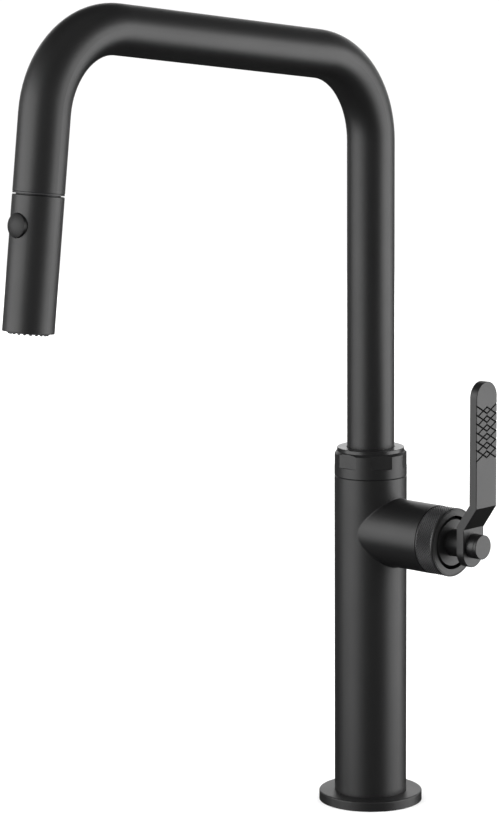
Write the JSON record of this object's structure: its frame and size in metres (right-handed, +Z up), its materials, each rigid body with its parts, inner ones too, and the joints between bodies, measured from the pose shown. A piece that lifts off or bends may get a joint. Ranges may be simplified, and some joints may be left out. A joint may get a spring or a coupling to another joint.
{
  "type": "pull-down kitchen faucet",
  "caption": "Deck-mounted kitchen faucet: swivelling high-arc tube spout with a pull-down spray head and a side valve with a cranked blade lever.",
  "frame": {"origin": "centre of the base flange's underside, on the deck", "axes": "+Z up the column, -Y the way the spout reaches at rest, +X along the valve towards the lever"},
  "size_m": [0.1085, 0.2894, 0.5004],
  "materials": {
    "black_metal": "satin black powder coat",
    "black_lever": "satin black powder coat",
    "black_ring": "satin black",
    "black_shell": "satin black, coated to match the tube",
    "button_plastic": "satin black",
    "dark_plastic": "moulded",
    "white_plastic": "moulded",
    "brass": "machined",
    "steel": "machined",
    "magnet": "nickel plated",
    "seal_rubber": "moulded",
    "nozzle_rubber": "moulded silicone",
    "hose_sheath": "braided nylon",
    "ceramic_disc": "lapped alumina ceramic"
  },
  "bodies": {
    "body": {"base_flange": "black_metal", "deck_gasket": "seal_rubber", "body_shell": "black_metal", "mounting_shank": "brass", "rubber_washer": "seal_rubber", "steel_washer": "steel", "mounting_nut": "brass", "clamp_screws": "steel", "waterway_block": "brass", "collar": "black_metal", "trim_ring": "black_ring", "upper_glide_ring": "white_plastic", "lower_glide_ring": "white_plastic", "knurled_ring": "black_metal", "valve_bezel": "black_metal", "valve_seals": "seal_rubber", "cartridge_housing": "white_plastic", "fixed_ceramic_disc": "ceramic_disc", "cartridge_nut": "brass"},
    "cartridge_rotor": {"cartridge_rotor": "white_plastic", "pivot_pin": "steel"},
    "disc_slider": {"moving_ceramic_disc": "ceramic_disc", "disc_carrier": "white_plastic"},
    "handle": {"drive_bar": "steel", "lever_hub": "black_metal", "lever_blade": "black_lever", "lever_cap": "black_lever", "cap_grub_screw": "steel"},
    "spout": {"spout_tube": "black_metal", "spout_journal": "brass", "journal_rings": "seal_rubber", "hose_guide": "white_plastic", "dock_bush": "dark_plastic", "dock_magnet": "magnet", "spray_hose": "hose_sheath"},
    "hose_end": {"hose_ferrule": "steel", "hose_nipple": "brass", "nipple_ring": "seal_rubber"},
    "spray_head": {"head_shell": "black_shell", "docking_nose": "dark_plastic", "nose_magnet_plate": "steel", "union_nut": "brass", "valve_core": "white_plastic", "check_valve": "white_plastic", "core_gasket": "seal_rubber", "diffuser": "white_plastic", "aerator": "dark_plastic", "spray_plate": "dark_plastic", "nozzle_pad": "nozzle_rubber", "button_spring": "steel"},
    "button": {"diverter_button": "button_plastic"}
  },
  "joints": [
    {"name": "spout_swivel", "type": "hinge", "parent": "body", "child": "spout", "pos_m": [0, 0, 0.18], "axis": [0, 0, 1], "range_deg": [-90, 90]},
    {"name": "hose_pull", "type": "slide", "parent": "spout", "child": "hose_end", "axis": [0, -0.1219, -0.9925], "range_m": [0, 0.25], "stiffness_N_per_m": 12, "springref_m": -0.6, "deforming": ["spray_hose"]},
    {"name": "head_turn", "type": "hinge", "parent": "hose_end", "child": "spray_head", "pos_m": [0, -0.24079, 0.34891], "axis": [0, -0.1219, -0.9925], "continuous": true},
    {"name": "button_press", "type": "slide", "parent": "spray_head", "child": "button", "axis": [0, 0.9925, -0.1219], "range_m": [0, 0.0015], "stiffness_N_per_m": 1500, "springref_m": -0.002, "deforming": ["button_spring"]},
    {"name": "temperature_turn", "type": "hinge", "parent": "body", "child": "cartridge_rotor", "pos_m": [0.0507, 0, 0.1505], "axis": [1, 0, 0], "range_deg": [-45, 45]},
    {"name": "lever_tilt", "type": "hinge", "parent": "cartridge_rotor", "child": "handle", "pos_m": [0.0507, 0, 0.1505], "axis": [0, 1, 0], "range_deg": [0, 22]},
    {"name": "disc_slide", "type": "slide", "parent": "cartridge_rotor", "child": "disc_slider", "axis": [0, 0, 1], "range_m": [0, 0.0036]}
  ],
  "couplings": [
    {"joint": "disc_slide", "follows": "lever_tilt", "m_per_rad": 0.0092}
  ]
}
